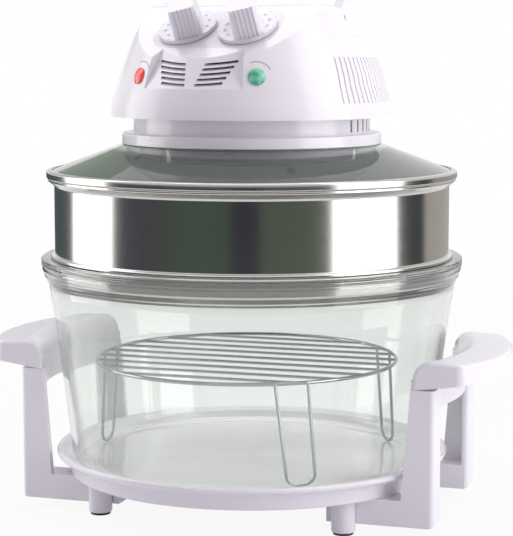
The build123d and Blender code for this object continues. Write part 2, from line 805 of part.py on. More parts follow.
def driven_down(low, seat):
    """Pan-head screw whose head sits on top of its seat."""
    return disc(screw_r, low, seat) + disc(screw_head_r, seat, seat + screw_head)


write_on_lid("collar_ring", collar_ring())
write_on_lid("neck_housing", neck_housing())
write_on_lid("head_base", head_base())
neck_screw_tip = collar_top - neck_screw_depth + screw_short
write_on_lid("neck_screws", Compound(children=[
    place * driven_down(neck_screw_tip, head_floor_top) for place in neck_screw_places]))
shell_screw_tip = head_floor_top + shell_screw_reach
write_on_lid("shell_screws", Compound(children=[
    place * sunk_screw(head_bottom, shell_screw_tip) for place in shell_screw_places]))

# ---------------------------------------------------------------- head shell

tilt = math.radians(panel_tilt)


def panel_edge(z, depth):
    """Value of y where a plane at a depth under the control panel's face passes a height."""
    return panel_y + (z - panel_z + depth / math.cos(tilt)) / math.tan(tilt)


def head_form(inset, panel_inset):
    """Outer form of the head moved inwards: round shell, sloping console and saddle between the legs."""
    low = -1.0 if inset else 0.0
    far = 2 * head_profile[0][0]
    top = console_top - inset
    top_y = panel_edge(top, panel_inset)
    start = console_profile[0][1]
    crown_r, crown = head_profile[-1]
    shell = lathe([(0, low), (head_profile[0][0] - inset, low)]
                  + [(r - inset, z) for r, z in head_profile[1:-1]]
                  + [(crown_r - inset, crown - inset), (0, crown - inset)])
    shell &= side([(panel_edge(low - 1, panel_inset), low - 1), (top_y, top), (far, top), (far, low - 1)],
                  -far, far)
    envelope = lathe([(0, start), (console_profile[0][0] - inset, start)]
                     + [(r - inset, z) for r, z in console_profile[1:-1]]
                     + [(console_profile[-1][0] - inset, top), (0, top)])
    console = envelope & side(
        [(panel_edge(start, panel_inset), start), (top_y, top), (console_back_y - inset, top),
         (console_back_y - inset, start)], -far, far, {1: 14.0, 2: 6.0 - inset})
    half = saddle_width / 2 - inset
    back = saddle_back_y - inset
    saddle = side([(console_back_y - saddle_overlap, start), (console_back_y - saddle_overlap, top),
                   (back - saddle_slope, top), (back, top - saddle_slope - 3), (back, start)],
                  -half, half, {2: 8.0, 3: 8.0})
    cut_top = recess_bottom + recess_reach
    cut_r = recess_r - inset - recess_slope * (cut_top - recess_bottom)
    cone = lathe([(recess_r - inset, recess_bottom - inset), (far, recess_bottom - inset),
                  (far, cut_top), (cut_r, cut_top)])
    half_angle = math.radians(recess_angle) + inset / recess_r
    wide = far * math.tan(half_angle)
    sector = extrude(make_face(Polyline((0, 0), (-wide, -far), (wide, -far), close=True)), far)
    return shell + console + saddle - (cone & sector)


def vent_slots():
    slots = []
    for row in range(vent_rows):
        share = row / (vent_rows - 1)
        inner = vent_inner_x[0] + share * (vent_inner_x[1] - vent_inner_x[0])
        outer = vent_outer_x[0] + share * (vent_outer_x[1] - vent_outer_x[0])
        z = vent_bottom + row * vent_pitch
        y = -(recess_r - recess_slope * (z - recess_bottom))
        for s in (-1, 1):
            slots.append(Pos(s * (inner + outer) / 2, y, z) * Rot(vent_tilt, 0, 0)
                         * Box(outer - inner, 26, vent_slot))
    return slots


def rib_grooves():
    """Upright grooves in both flanks, cut to one depth below the shell's surface."""
    low, high = rib_bottom, rib_bottom + rib_height
    flank = [p for p in head_profile if low <= p[1] <= high + 2]
    outer = lathe([(0, flank[0][1])] + [(r + 1, z) for r, z in flank] + [(0, flank[-1][1])])
    inner = lathe([(0, flank[0][1] - 1), (flank[0][0] - rib_depth, flank[0][1] - 1)]
                  + [(r - rib_depth, z) for r, z in flank]
                  + [(flank[-1][0] - rib_depth, flank[-1][1] + 1), (0, flank[-1][1] + 1)])
    band = outer - inner
    slabs = []
    for s in (-1, 1):
        for k in range(rib_count):
            slabs.append(at_angle(head_r, s * (rib_first + k * rib_pitch), (low + high) / 2)
                         * Box(rib_width, head_r / 2, high - low))
    return joined(slabs) & band


lamp_r_place = head_profile[3][0]
lamp_places = {s: at_angle(lamp_r_place, s * lamp_angle, lamp_height) * Rot(90 - lamp_tilt, 0, 0)
               for s in (-1, 1)}
knob_places = {s: Pos(s * knob_x, panel_y, panel_z) * Rot(panel_tilt, 0, 0) for s in (-1, 1)}
knob_turn = Rot(0, 0, knob_rest)
panel_place = Pos(0, panel_y, panel_z) * Rot(panel_tilt, 0, 0)
gland_place = at_angle(head_profile[1][0], 180, gland_height) * Rot(90, 0, 0)
head_place = Pos(0, 0, head_bottom)


def control_panel(gap=0.0):
    """Insert that carries the dial marks, flush with the console."""
    face = fillet(Rectangle(panel_width + 2 * gap, panel_length + 2 * gap).vertices(), panel_round)
    return panel_place * Pos(0, 0, -panel_thickness) * extrude(face, panel_thickness + (1 if gap else 0))


def head_shell():
    shell = head_form(0, 0) - head_form(head_wall, head_wall + panel_thickness)
    bosses = [place * disc(shell_boss_r, head_floor, shell_boss_height) for place in shell_screw_places]
    bosses = joined(bosses) & head_form(head_wall / 2, head_wall / 2)
    shell = shell + bosses
    shell -= [place * disc(screw_hole_r, head_floor - 1, head_floor + 10) for place in shell_screw_places]
    shell -= control_panel(0.1)
    shell -= vent_slots()
    shell -= rib_grooves()
    for s in (-1, 1):
        shell -= knob_places[s] * disc(spindle_r + part_gap, -20, 5)
        shell -= lamp_places[s] * disc(lamp_r + screw_gap, -20, 10)
    shell -= gland_place * disc(gland_r + screw_gap, -20, 20)
    return shell - Pos(0, 0, handle_pivot_z) * Rot(0, 90, 0) * Cylinder(pin_r + part_gap, saddle_width + 2)


def panel_with_holes():
    panel = control_panel()
    for s in (-1, 1):
        panel -= knob_places[s] * disc(spindle_r + part_gap, -20, 5)
    return panel


def lamp_lens(s):
    """Lens with a domed front and a collar behind the shell's wall."""
    body = lathe([(0, -lamp_length), (lamp_r, -lamp_length), (lamp_r, 0.6), (0, 0.6)])
    ball_r = (lamp_r ** 2 + lamp_dome ** 2) / (2 * lamp_dome)
    cap = Pos(0, 0, 0.6 + lamp_dome - ball_r) * Sphere(ball_r) & disc(lamp_r, 0.6, 0.6 + lamp_dome + 1)
    return lamp_places[s] * (body + cap)


def lamp_holders():
    back = -lamp_length - lamp_holder_length
    holder = lathe([(0, back), (lamp_holder_r, back), (lamp_holder_r, -lamp_length), (0, -lamp_length)],
                   {1: 1.0})
    return Compound(children=[lamp_places[s] * holder for s in (-1, 1)])


def cord_gland():
    gland = lathe([(gland_bore_r, -gland_length), (gland_r, -gland_length), (gland_r, gland_seat),
                   (gland_flange_r, gland_seat), (gland_flange_r - 1, gland_front),
                   (gland_bore_r, gland_front)], {4: 0.8})
    return gland_place * gland


write_on_lid("head_shell", head_place * head_shell())
write_on_lid("control_panel", head_place * panel_with_holes())
write_on_lid("red_lamp_lens", head_place * lamp_lens(-1))
write_on_lid("green_lamp_lens", head_place * lamp_lens(1))
write_on_lid("lamp_holders", head_place * lamp_holders())
write_on_lid("cord_gland", head_place * cord_gland())

# ---------------------------------------------------------------- knobs, timer and thermostat


def knob():
    """Turning knob: thin skirt disc and a tall fluted grip."""
    grip_face = fillet(Rectangle(knob_grip_width, knob_grip_length).vertices(), knob_grip_round)
    base = knob_gap + knob_disc
    grip = Pos(0, 0, base) * extrude(grip_face, knob_grip_height, taper=knob_taper)
    body = disc(knob_disc_r, knob_gap, base) + grip
    first = -(knob_flutes - 1) / 2 * knob_flute_pitch
    lean = math.tan(math.radians(knob_taper)) * knob_grip_height
    for s in (-1, 1):
        for k in range(knob_flutes):
            foot = Vector(first + k * knob_flute_pitch, s * knob_grip_length / 2, base)
            head = foot + Vector(0, -s * lean, knob_grip_height + 0.1)
            cut = Pos(0, 0, flute_reach / 2) * Cylinder(knob_flute_r, flute_reach)
            cut = Plane(foot, z_dir=head - foot) * cut
            body -= cut & disc(knob_disc_r, base, base + knob_grip_height + 1)
    return body - disc(spindle_r + fit_gap, knob_gap - 1, knob_gap + knob_bore)


panel_back = -(head_wall + panel_thickness)


def spindle():
    return disc(spindle_r, panel_back - spindle_depth, knob_gap + knob_bore)


def spindle_bore():
    return disc(spindle_r + part_gap, panel_back - spindle_depth - part_gap, 1)


for s, name in ((-1, "timer"), (1, "thermostat")):
    write_on_lid(f"{name}_knob", head_place * knob_places[s] * knob_turn * knob())
    write_on_lid(f"{name}_spindle", head_place * knob_places[s] * spindle())

timer_body = disc(timer_r, panel_back - timer_depth, panel_back) - spindle_bore()
half_size = thermostat_size / 2
thermostat_body = block((-half_size, -half_size, panel_back - thermostat_depth),
                        (half_size, half_size, panel_back)) - spindle_bore()
write_on_lid("timer_unit", head_place * knob_places[-1] * timer_body)
write_on_lid("thermostat_unit", head_place * knob_places[1] * thermostat_body)

# ---------------------------------------------------------------- carry handle and its switch

pivot_place = Pos(0, 0, head_bottom + handle_pivot_z)


def carry_handle():
    """Folding bail: two flat legs with round eyes, joined by a bar with rounded corners."""
    out, inn = handle_outer_x, handle_outer_x - handle_leg
    top = handle_reach + handle_bar / 2
    under = handle_reach - handle_bar / 2
    half = handle_depth / 2
    bail = Plane.XZ.offset(-half) * make_face(outline(
        [(-out, 0), (-out, top), (out, top), (out, 0), (inn, 0), (inn, under), (-inn, under), (-inn, 0)],
        {1: handle_round, 2: handle_round, 5: handle_round - handle_leg, 6: handle_round - handle_leg}))
    bail = extrude(bail, handle_depth)
    rims = bail.edges().filter_by(lambda e: abs(abs(e.center().Y) - half) < 0.01 and e.center().Z > 1)
    bail = fillet(rims, handle_edge)
    for s in (-1, 1):
        eye = Rot(0, 90, 0) * Cylinder(handle_eye_r, handle_leg)
        bail += Pos(s * (out + inn) / 2, 0, 0) * eye
    bail -= Rot(0, 90, 0) * Cylinder(pin_r + fit_gap, 2 * out + 2)
    return Rot(-handle_lean, 0, 0) * bail


def handle_pins():
    """Pins of the bail; a collar holds the left one in, an off-centre cam the right one."""
    length = handle_outer_x - pin_inner_x
    middle = (handle_outer_x + pin_inner_x) / 2
    lying = Rot(0, 90, 0)
    end_x = pin_inner_x - cam_width / 2
    left = Pos(-middle, 0, 0) * lying * Cylinder(pin_r, length)
    left += Pos(-end_x, 0, 0) * lying * Cylinder(cam_r, cam_width)
    right = Pos(middle, 0, 0) * lying * Cylinder(pin_r, length)
    right += Pos(end_x, cam_offset, 0) * lying * Cylinder(cam_r, cam_width)
    return Compound(children=[left, right])


plunger_x = pin_inner_x - cam_width / 2
plunger_top = -(cam_r + part_gap)
plunger_low = plunger_top - plunger_length
switch_top = plunger_top - plunger_show


def safety_switch():
    """Switch against the saddle's side wall; the handle has to be down for it to close."""
    body = block((switch_inner_x, -switch_depth / 2, switch_top - switch_height),
                 (saddle_width / 2 - head_wall, switch_depth / 2, switch_top))
    return body - disc(plunger_r + part_gap, switch_top - switch_bore_depth, switch_top + 1, plunger_x)


write_on_lid("carry_handle", pivot_place * carry_handle())
write_on_lid("handle_pins", pivot_place * handle_pins())
write_on_lid("switch_plunger", pivot_place * disc(plunger_r, plunger_low, plunger_top, plunger_x))
write_on_lid("safety_switch", pivot_place * safety_switch())

# ---------------------------------------------------------------- fans and motor

blower_low = blower_top - blower_height
shaft_low = blower_low - shaft_below
cooler_low = collar_top + cooler_raise
bracket_top = head_floor_top + bracket_sheet
stator_low = bracket_top + motor_raise
stator_top = stator_low + motor_stack
bridge_low = stator_low - bridge_rise
bridge_top = stator_top + bridge_rise
shaft_top = bridge_top + bridge_sheet + 1.5


def fan(radius, low, high, blades, plate_low, lean):
    """Round plate with upright blades on a hub, bored for the shaft."""
    inner = fan_hub_r - 1
    wheel = disc(fan_hub_r, low, high) + disc(radius, plate_low, plate_low + blade_thickness)
    for k in range(blades):
        blade = Pos((inner + radius) / 2, 0, (low + high) / 2) * Rot(0, 0, lean) * Box(
            radius - inner - 4, blade_thickness, high - low)
        wheel += Rot(0, 0, 360 * k / blades) * blade
    return wheel - disc(shaft_r + fit_gap, low - 1, high + 1)


def motor_stator():
    """Laminated frame: bore for the rotor and a window behind it for the coil."""
    half = motor_width / 2
    bar = motor_back - motor_limb
    frame = block((-half, -motor_front, stator_low), (half, motor_back, stator_top))
    frame -= block((motor_limb - half, bar - motor_window, stator_low - 1),
                   (half - motor_limb, bar, stator_top + 1))
    return frame - disc(rotor_r + rotor_gap, stator_low - 1, stator_top + 1)


def motor_coil():
    near, far = motor_back - motor_limb, motor_back
    half = coil_length / 2
    wound = block((-half, near - coil_wall, stator_low - coil_wall),
                  (half, far + coil_wall, stator_top + coil_wall))
    wound = fillet(wound.edges().filter_by(Axis.X), coil_wall - 1)
    return wound - block((-half - 1, near, stator_low), (half + 1, far, stator_top))


def motor_bridges():
    """Straps above and below the frame that carry the bushes."""
    half = bridge_width / 2
    straps = []
    for face, outer, beyond in ((stator_low, bridge_low, bridge_low - bridge_sheet),
                                (stator_top, bridge_top, bridge_top + bridge_sheet)):
        strap = block((-bridge_x, -half, min(outer, beyond)), (bridge_x, half, max(outer, beyond)))
        for s in (-1, 1):
            inner, far = sorted((s * bridge_x, s * (bridge_x - bridge_sheet)))
            strap += block((inner, -half, min(face, beyond)), (far, half, max(face, beyond)))
        straps.append(strap - disc(shaft_r + part_gap, bridge_low - 9, bridge_top + 9))
    return Compound(children=straps)


def motor_bushes():
    return Compound(children=[
        tube(shaft_r + part_gap, bush_r, bridge_low, bridge_low + bush_height),
        tube(shaft_r + part_gap, bush_r, bridge_top - bush_height, bridge_top)])


def motor_bracket():
    half = bracket_width / 2
    plate = block((-bracket_x, -half, head_floor_top), (bracket_x, half, bracket_top))
    for x in (-bracket_post[0], bracket_post[0]):
        for y in (-bracket_post[1], bracket_post[1]):
            plate += disc(bracket_post_r, head_floor_top, stator_low, x, y)
    plate -= [disc(screw_hole_r, head_floor_top - 1, bracket_top + 1, x, y) for x, y in bracket_screw_places]
    return plate - disc(shaft_hole_r, head_floor_top - 1, bracket_top + 1)


nut_on_shaft_low = blower_low - nut_on_shaft
shaft_nut = Pos(0, 0, nut_on_shaft_low) * extrude(RegularPolygon(nut_on_shaft_r, 6), nut_on_shaft)
write_on_lid("convection_fan", fan(blower_r, blower_low, blower_top, blower_blades,
                                   blower_top - blade_thickness, 18.0))
write_on_lid("cooling_fan", fan(cooler_r, cooler_low, cooler_low + cooler_height, cooler_blades,
                                cooler_low, 0.0))
write_on_lid("fan_nut", shaft_nut - disc(shaft_r + fit_gap, shaft_low - 1, blower_low + 1))
write_on_lid("motor_shaft", disc(shaft_r, shaft_low, shaft_top))
write_on_lid("motor_rotor", tube(shaft_r + fit_gap, rotor_r, stator_low, stator_top))
write_on_lid("motor_stator", motor_stator())
write_on_lid("motor_coil", motor_coil())
write_on_lid("motor_bridges", motor_bridges())
write_on_lid("motor_bushes", motor_bushes())
write_on_lid("motor_bracket", motor_bracket())
write_on_lid("bracket_screws", Compound(children=[
    Pos(x, y, 0) * driven_down(head_bottom - 2, bracket_top) for x, y in bracket_screw_places]))

# ---------------------------------------------------------------- small electrical pieces

terminal = block([-terminal_size[0] / 2, -terminal_size[1] / 2, head_floor_top],
                 [terminal_size[0] / 2, terminal_size[1] / 2, head_floor_top + terminal_size[2]])
write_on_lid("terminal_block", at_angle(terminal_r, terminal_angle) * terminal)
write_on_lid("thermal_cutout", at_angle(cutout_circle_r, cutout_angle)
             * disc(cutout_r, collar_top, collar_top + cutout_height))
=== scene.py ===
import json
import math
import bpy
from mathutils import Matrix, Vector


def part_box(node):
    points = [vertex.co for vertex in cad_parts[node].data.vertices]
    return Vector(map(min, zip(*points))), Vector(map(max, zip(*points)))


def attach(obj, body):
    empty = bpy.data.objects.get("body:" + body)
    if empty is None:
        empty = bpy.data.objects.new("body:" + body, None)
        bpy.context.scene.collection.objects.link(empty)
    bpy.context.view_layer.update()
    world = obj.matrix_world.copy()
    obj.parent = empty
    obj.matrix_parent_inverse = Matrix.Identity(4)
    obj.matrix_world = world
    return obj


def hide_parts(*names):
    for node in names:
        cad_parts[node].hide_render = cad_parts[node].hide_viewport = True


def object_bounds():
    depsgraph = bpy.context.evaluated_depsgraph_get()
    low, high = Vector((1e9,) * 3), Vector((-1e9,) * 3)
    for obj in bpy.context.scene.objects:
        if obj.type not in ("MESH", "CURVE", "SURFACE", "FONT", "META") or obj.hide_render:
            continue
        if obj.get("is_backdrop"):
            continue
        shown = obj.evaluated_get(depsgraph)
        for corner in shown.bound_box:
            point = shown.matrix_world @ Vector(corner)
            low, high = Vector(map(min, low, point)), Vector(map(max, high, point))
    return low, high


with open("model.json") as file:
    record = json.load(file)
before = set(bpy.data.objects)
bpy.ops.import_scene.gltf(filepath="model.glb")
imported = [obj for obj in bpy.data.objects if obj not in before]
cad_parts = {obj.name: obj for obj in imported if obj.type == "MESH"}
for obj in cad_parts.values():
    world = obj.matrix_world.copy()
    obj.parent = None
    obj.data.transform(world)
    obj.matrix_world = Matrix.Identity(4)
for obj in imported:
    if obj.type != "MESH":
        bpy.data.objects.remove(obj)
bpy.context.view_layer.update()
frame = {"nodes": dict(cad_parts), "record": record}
nodes = frame["nodes"]
nodeBody = {node: body for body, members in frame["record"]["behaviour"]["bodies"].items()
            for node in members}
nodeSlot = {row["node"]: row["material_slot"] for row in frame["record"]["subparts"]}
mm = 0.001
print("loaded", len(nodes), "nodes")


def linearColour(hexCode):
    parts = [int(hexCode[i:i + 2], 16) / 255 for i in (1, 3, 5)]
    return tuple(c / 12.92 if c <= 0.04045 else ((c + 0.055) / 1.055) ** 2.4 for c in parts) + (1.0,)


def addNode(tree, kind, settings=None, links=None):
    node = tree.nodes.new(kind)
    for name, value in (settings or {}).items():
        if isinstance(name, int) or name in node.inputs:
            node.inputs[name].default_value = value
        else:
            setattr(node, name, value)
    for name, socket in (links or {}).items():
        tree.links.new(socket, node.inputs[name])
    return node


def newMaterial(name):
    material = bpy.data.materials.new(name)
    material.use_nodes = True
    tree = material.node_tree
    surface = tree.nodes["Principled BSDF"]
    place = addNode(tree, "ShaderNodeTexCoord").outputs["Object"]
    return material, tree, surface, place


def perMm(size):
    return 1000.0 / size    # texture scale that gives a feature of that many millimetres


# finishes, each named for what the real one is made of and how its surface was made

plastic = {
    "roughness": 0.19, "shinier": 0.03, "duller": 0.05, "ior": 1.53,
    "sinkMm": 26.0,                             # slow waves left where the mould cooled
    "peelMm": 1.4, "peelHeight": 0.006,
}


def mouldedAbs(name, colour, shade, roughness=plastic["roughness"]):
    # glossy injection-moulded ABS: a faint orange peel and slow sink waves soften its reflections
    material, tree, surface, place = newMaterial(name)
    sink = addNode(tree, "ShaderNodeTexNoise", {"Scale": perMm(plastic["sinkMm"]), "Detail": 2.0},
                   {"Vector": place})
    peel = addNode(tree, "ShaderNodeTexNoise", {"Scale": perMm(plastic["peelMm"]), "Detail": 1.0},
                   {"Vector": place})
    tint = addNode(tree, "ShaderNodeMix",
                   {"data_type": "RGBA", 6: linearColour(colour), 7: linearColour(shade)},
                   {0: sink.outputs["Fac"]})
    rough = addNode(tree, "ShaderNodeMapRange",
                    {"To Min": roughness - plastic["shinier"], "To Max": roughness + plastic["duller"]},
                    {"Value": sink.outputs["Fac"]})
    bump = addNode(tree, "ShaderNodeBump", {"Strength": 0.12, "Distance": plastic["peelHeight"] * mm},
                   {"Height": peel.outputs["Fac"]})
    tree.links.new(tint.outputs[2], surface.inputs["Base Color"])
    tree.links.new(rough.outputs["Result"], surface.inputs["Roughness"])
    tree.links.new(bump.outputs["Normal"], surface.inputs["Normal"])
    surface.inputs["IOR"].default_value = plastic["ior"]
    return material


def glass(name, middle, edge, paintedBands=(), ior=1.5, clearness=1.0, frost=None):
    # tempered soda-lime glass: nearly clear face on, green-grey along the wall
    # a band is (from, to, colour) up the piece in mm, a tone painted over the glass for the light or shade
    # that falls there
    # frost is (from, to, roughness, clearness), where a pressed underside scatters what is seen through it
    material, tree, surface, place = newMaterial(name)
    facing = addNode(tree, "ShaderNodeLayerWeight", {"Blend": 0.35})
    tint = addNode(tree, "ShaderNodeMix",
                   {"data_type": "RGBA", 6: linearColour(middle), 7: linearColour(edge)},
                   {0: facing.outputs["Facing"]})
    colour = tint.outputs[2]
    height = addNode(tree, "ShaderNodeSeparateXYZ", {}, {"Vector": place}).outputs["Z"]
    for start, end, paintedColour in paintedBands:
        share = addNode(tree, "ShaderNodeMapRange", {"From Min": start * mm, "From Max": end * mm},
                        {"Value": height})
        colour = addNode(tree, "ShaderNodeMix", {"data_type": "RGBA", 7: linearColour(paintedColour)},
                         {0: share.outputs["Result"], 6: colour}).outputs[2]
    tree.links.new(colour, surface.inputs["Base Color"])
    surface.inputs["Roughness"].default_value = 0.0
    if frost:
        start, end, frostRoughness, frostClearness = frost
        for socket, plain, frosted in (("Roughness", 0.0, frostRoughness),
                                       ("Transmission Weight", clearness, frostClearness)):
            share = addNode(tree, "ShaderNodeMapRange",
                            {"From Min": start * mm, "From Max": end * mm,
                             "To Min": plain, "To Max": frosted}, {"Value": height})
            tree.links.new(share.outputs["Result"], surface.inputs[socket])
    else:
        surface.inputs["Transmission Weight"].default_value = clearness
    surface.inputs["IOR"].default_value = ior
    path = addNode(tree, "ShaderNodeLightPath")
    clear = addNode(tree, "ShaderNodeBsdfTransparent")
    both = addNode(tree, "ShaderNodeMixShader", {},
                   {0: path.outputs["Is Shadow Ray"], 1: surface.outputs[0], 2: clear.outputs[0]})
    tree.links.new(both.outputs[0], tree.nodes["Material Output"].inputs["Surface"])    # lamps reach inside
    return material


metal = {"roundScale": 12.0, "shiniest": 0.8, "dullest": 1.3}    # the last two are shares of its roughness


def steel(name, colour, roughness, lineMm=0.35, lineHeight=0.0006, turned=0.0):
    # rolled or polished metal: fine lines run round it, so reflections are sharp across and drawn out upwards
    material, tree, surface, place = newMaterial(name)
    stretch = addNode(tree, "ShaderNodeMapping",
                      {"Scale": (metal["roundScale"], metal["roundScale"], perMm(lineMm))}, {"Vector": place})
    lines = addNode(tree, "ShaderNodeTexNoise", {"Scale": 1.0, "Detail": 3.0},
                    {"Vector": stretch.outputs["Vector"]})
    rough = addNode(tree, "ShaderNodeMapRange",
                    {"To Min": roughness * metal["shiniest"], "To Max": roughness * metal["dullest"]},
                    {"Value": lines.outputs["Fac"]})
    bump = addNode(tree, "ShaderNodeBump", {"Strength": 0.1, "Distance": lineHeight * mm},
                   {"Height": lines.outputs["Fac"]})
    surface.inputs["Base Color"].default_value = linearColour(colour)
    surface.inputs["Metallic"].default_value = 1.0
    surface.inputs["Anisotropic"].default_value = turned
    tree.links.new(rough.outputs["Result"], surface.inputs["Roughness"])
    tree.links.new(bump.outputs["Normal"], surface.inputs["Normal"])
    if turned:
        along = addNode(tree, "ShaderNodeTangent", {"direction_type": "RADIAL", "axis": "Z"})
        tree.links.new(along.outputs["Tangent"], surface.inputs["Tangent"])
    return material


def matt(name, colour, dark, roughness, grainMm, metallic=0.0, height=0.05):
    # a surface with a grain of its own size, which breaks up its shine
    material, tree, surface, place = newMaterial(name)
    grain = addNode(tree, "ShaderNodeTexNoise", {"Scale": perMm(grainMm), "Detail": 4.0}, {"Vector": place})
    tint = addNode(tree, "ShaderNodeMix",
                   {"data_type": "RGBA", 6: linearColour(colour), 7: linearColour(dark)},
                   {0: grain.outputs["Fac"]})
    bump = addNode(tree, "ShaderNodeBump", {"Strength": 0.3, "Distance": height * mm},
                   {"Height": grain.outputs["Fac"]})
    tree.links.new(tint.outputs[2], surface.inputs["Base Color"])
    tree.links.new(bump.outputs["Normal"], surface.inputs["Normal"])
    surface.inputs["Roughness"].default_value = roughness
    surface.inputs["Metallic"].default_value = metallic
    return material


lens = {
    "facetMm": 4.5, "facetHeight": 0.08, "roughness": 0.12, "ior": 1.49,
    "coat": 0.5, "coatRoughness": 0.03,
}


def jewel(name, colour, glow, lit):
    # cut acrylic lens with a small lamp behind it: the facets behind the clear face are bumps, and the
    # lighter cells of its colour are painted light from that lamp
    material, tree, surface, place = newMaterial(name)
    cells = addNode(tree, "ShaderNodeTexVoronoi", {"Scale": perMm(lens["facetMm"])}, {"Vector": place})
    # the glow colour fills the cells towards their edges: painted light, not a tint of the acrylic
    tint = addNode(tree, "ShaderNodeMix",
                   {"data_type": "RGBA", 6: linearColour(colour), 7: linearColour(glow)},
                   {0: cells.outputs["Distance"]})
    bump = addNode(tree, "ShaderNodeBump", {"Strength": 0.5, "Distance": lens["facetHeight"] * mm},
                   {"Height": cells.outputs["Distance"]})
    tree.links.new(tint.outputs[2], surface.inputs["Base Color"])
    tree.links.new(bump.outputs["Normal"], surface.inputs["Normal"])
    surface.inputs["Roughness"].default_value = lens["roughness"]
    surface.inputs["IOR"].default_value = lens["ior"]
    surface.inputs["Emission Color"].default_value = linearColour(colour)
    surface.inputs["Emission Strength"].default_value = lit
    surface.inputs["Coat Weight"].default_value = lens["coat"]
    surface.inputs["Coat Roughness"].default_value = lens["coatRoughness"]
    return material


finish = {
    "white_plastic": mouldedAbs("glossyWhiteAbs", "#EFEDF2", "#EAE7EE"),
    "knob_plastic": mouldedAbs("glossyWhiteAbsKnob", "#E5E3EA", "#DDDBE3"),
    "panel_plastic": mouldedAbs("satinWhiteAbs", "#E4E0E8", "#DCD8E1", 0.32),
    "foot_rubber": matt("mouldedRubber", "#3A3A3C", "#2C2C2E", 0.85, 0.8),         # hardly any shine
    "bowl_glass": glass("pressedSodaGlass", "#F6F8F6", "#EAEFEB",
                        # painted light and shade: clearer below 40 mm so the floor looks lighter, greyer from
                        # 110 mm up the wall, grey from 188 mm up over the lip
                        paintedBands=[(50.0, 40.0, "#FFFFFF"), (110.0, 170.0, "#ECEEEC"), (181.0, 188.0, "#C8C8C8")],
                        frost=(37.5, 36.0, 0.3, 0.62)),
    "lid_glass": glass("greySodaGlass", "#E2EAE3", "#97A39A", clearness=0.95),
    "quartz": glass("fusedQuartz", "#FAFAFA", "#DDE0E4", ior=1.46),
    "rack_chrome": steel("chromedWire", "#ACACB2", 0.12, 0.8),                      # bright plate
    "extender_steel": steel("polishedStainless", "#C9C8C4", 0.13, turned=0.6),
    "band_steel": steel("rolledStainless", "#B7B7B5", 0.16, turned=0.4),
    "pan_steel": steel("aluminisedSteel", "#DADBDD", 0.38, turned=0.3),             # soft silver
    "post_aluminium": matt("turnedAluminium", "#FFFFFF", "#F0F0F4", 0.15, 0.5, metallic=1.0, height=0.01),
    "screw_steel": matt("zincPlatedSteel", "#B9BBBF", "#9FA1A6", 0.35, 0.6, metallic=1.0),
    "ceramic": matt("bisqueCeramic", "#E9E4D8", "#DDD7C8", 0.8, 0.5),               # unglazed, chalky
    "insulation": matt("mineralBoard", "#D8D2C0", "#C4BDA8", 0.95, 1.2),            # pressed fibre, dull
    "fan_aluminium": steel("rolledAluminium", "#CBCCD0", 0.3),
    "fan_plastic": matt("glassFilledNylon", "#34343A", "#26262B", 0.5, 0.5),
    "motor_steel": matt("varnishedLaminations", "#5B5E66", "#44474E", 0.45, 0.5, metallic=0.6),
    "winding": matt("enamelledCopper", "#B8713F", "#8F5530", 0.35, 0.6, metallic=1.0),
    "bush_brass": matt("sinteredBronze", "#B89A5C", "#9C8149", 0.45, 0.4, metallic=1.0),
    "bracket_steel": matt("galvanisedSteel", "#B4B8BC", "#9BA0A5", 0.4, 3.0, metallic=1.0),    # spangled
    "unit_plastic": matt("blackNylon", "#3C3C3E", "#303032", 0.5, 0.4),
    "terminal_plastic": matt("ureaPlastic", "#DBD8CC", "#CFCBBD", 0.5, 0.5),        # ivory, hard
    "gland_plastic": matt("greyPvc", "#B9B7BD", "#ABA9AF", 0.5, 0.5),
    "red_lens": jewel("redAcrylic", "#C00008", "#FF3A2A", 0.25),
    "green_lens": jewel("greenAcrylic", "#04805A", "#86DDBE", 0.05),
    "ink": matt("printedInk", "#9C99A2", "#94919A", 0.6, 0.3),                      # flat grey
}
for name, piece in nodes.items():
    piece.data.materials.clear()
    piece.data.materials.append(finish[nodeSlot[name]])
print("finishes", len(finish))


# ways of making a piece

spinning = {
    "steps": 180,           # of a full turn
    "sharpFrom": 35.0,      # degrees from which an edge stays sharp
    "mergeWithin": 0.001,
}


def selectOnly(piece):
    bpy.ops.object.select_all(action="DESELECT")
    piece.select_set(True)
    bpy.context.view_layer.objects.active = piece


def settle(piece, node):
    # finish, smooth shading and the node that a spun piece stands for
    piece.data.materials.append(finish[nodeSlot[node]])
    selectOnly(piece)
    bpy.ops.object.shade_smooth_by_angle(angle=math.radians(spinning["sharpFrom"]))
    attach(piece, nodeBody[node])
    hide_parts(node)


def rounded(corners, steps=6):
    # corners are (radius, height) or (radius, height, rounding), in millimetres
    line = []
    for k, corner in enumerate(corners):
        if len(corner) == 2:
            line.append(Vector(corner))
            continue
        here = Vector(corner[:2])
        back = (Vector(corners[k - 1][:2]) - here).normalized()
        ahead = (Vector(corners[(k + 1) % len(corners)][:2]) - here).normalized()
        half = back.angle(ahead) / 2
        first = here + back * corner[2] / math.tan(half)
        last = here + ahead * corner[2] / math.tan(half)
        centre = here + (back + ahead).normalized() * corner[2] / math.sin(half)
        for step in range(steps + 1):
            out = (first - centre).lerp(last - centre, step / steps).normalized()
            line.append(centre + out * corner[2])
    return line


def bowed(start, middle, end, steps):
    # points on the circle through three, without its two ends
    a, b, c = Vector(start), Vector(middle), Vector(end)
    ab, bc = b - a, c - b
    turn = ab.x * bc.y - ab.y * bc.x
    centre = (a + b) / 2 + (c - a).dot(bc) / (2 * turn) * Vector((-ab.y, ab.x))
    radius = (a - centre).length
    return [centre + (a.lerp(c, k / steps) - centre).normalized() * radius for k in range(1, steps)]


def plane(name):
    bpy.ops.object.select_all(action="DESELECT")
    bpy.ops.mesh.primitive_plane_add(size=1.0)
    piece = bpy.context.object
    piece.name = name
    bpy.ops.object.mode_set(mode="EDIT")
    bpy.ops.mesh.select_all(action="SELECT")
    return piece


